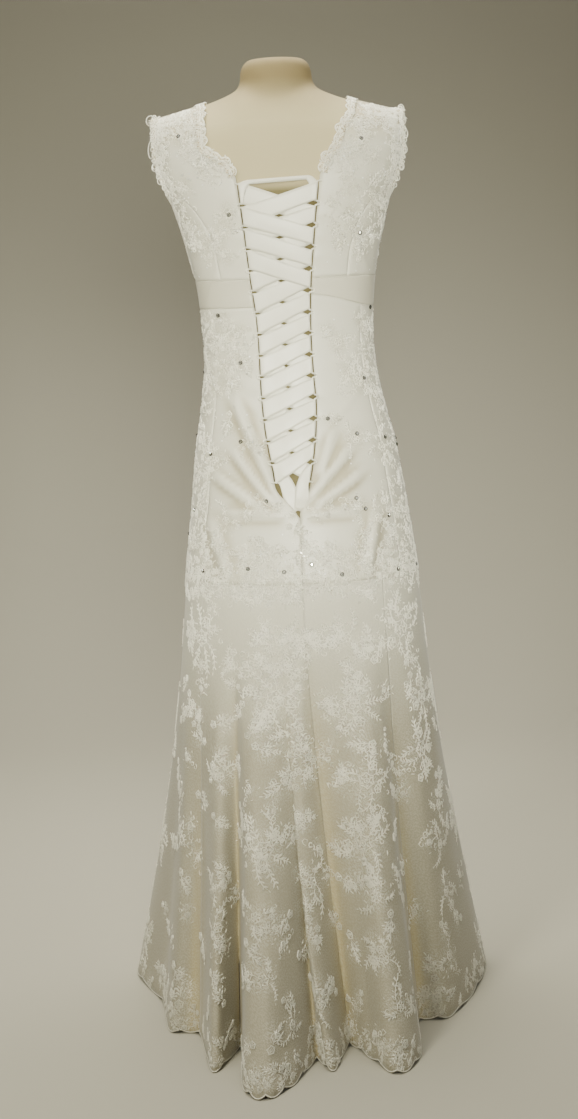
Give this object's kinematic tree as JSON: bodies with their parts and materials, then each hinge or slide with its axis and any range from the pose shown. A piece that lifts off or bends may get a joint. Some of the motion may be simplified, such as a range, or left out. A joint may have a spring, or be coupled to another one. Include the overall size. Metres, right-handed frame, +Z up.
{
  "type": "wedding dress on a dress form",
  "caption": "Ivory lace wedding dress with a ribbon-laced open back and a short fluted train, fitted over a limbless cloth-covered dress form that stands on a pole and a round base",
  "frame": {"origin": "On the floor, at the centre of the underside of the stand's round base, under the pole", "axes": "+Z is up; -Y is the front of the dress and +Y its back and train; +X is the wearer's left"},
  "size_m": [0.5913, 0.797, 1.5075],
  "materials": {
    "ivory_satin": "soft ivory satin, plain on the band and bodice, under corded lace elsewhere",
    "ivory_lace": "ivory net with raised corded flowers and leaves",
    "corded_lace_edging": "scalloped corded lace border",
    "satin_ribbon": "smooth ivory satin ribbon",
    "satin_cord": "round satin-covered cord",
    "form_calico": "plain cream cloth stretched over a moulded torso",
    "stand_steel": "satin grey painted steel"
  },
  "bodies": {
    "root": {"armhole_edging_left": "corded_lace_edging", "armhole_edging_right": "corded_lace_edging", "band_back_left": "ivory_satin", "band_back_right": "ivory_satin", "band_front": "ivory_satin", "bodice_back_left": "ivory_satin", "bodice_back_right": "ivory_satin", "bodice_front_left": "ivory_satin", "bodice_front_right": "ivory_satin", "bodice_side_back_left": "ivory_satin", "bodice_side_back_right": "ivory_satin", "bodice_side_front_left": "ivory_satin", "bodice_side_front_right": "ivory_satin", "form_torso": "form_calico", "hip_back_left": "ivory_satin", "hip_back_right": "ivory_satin", "hip_front": "ivory_satin", "hip_side_left": "ivory_satin", "hip_side_right": "ivory_satin", "lacing_ribbon": "satin_ribbon", "loops_left": "satin_cord", "loops_right": "satin_cord", "neck_edging_left": "corded_lace_edging", "neck_edging_right": "corded_lace_edging", "skirt_back_left": "ivory_lace", "skirt_back_right": "ivory_lace", "skirt_front": "ivory_lace", "skirt_side_left": "ivory_lace", "skirt_side_right": "ivory_lace", "stand_base": "stand_steel", "stand_pole": "stand_steel", "underskirt_back_left": "ivory_satin", "underskirt_back_right": "ivory_satin", "underskirt_front": "ivory_satin"}
  },
  "joints": []
}
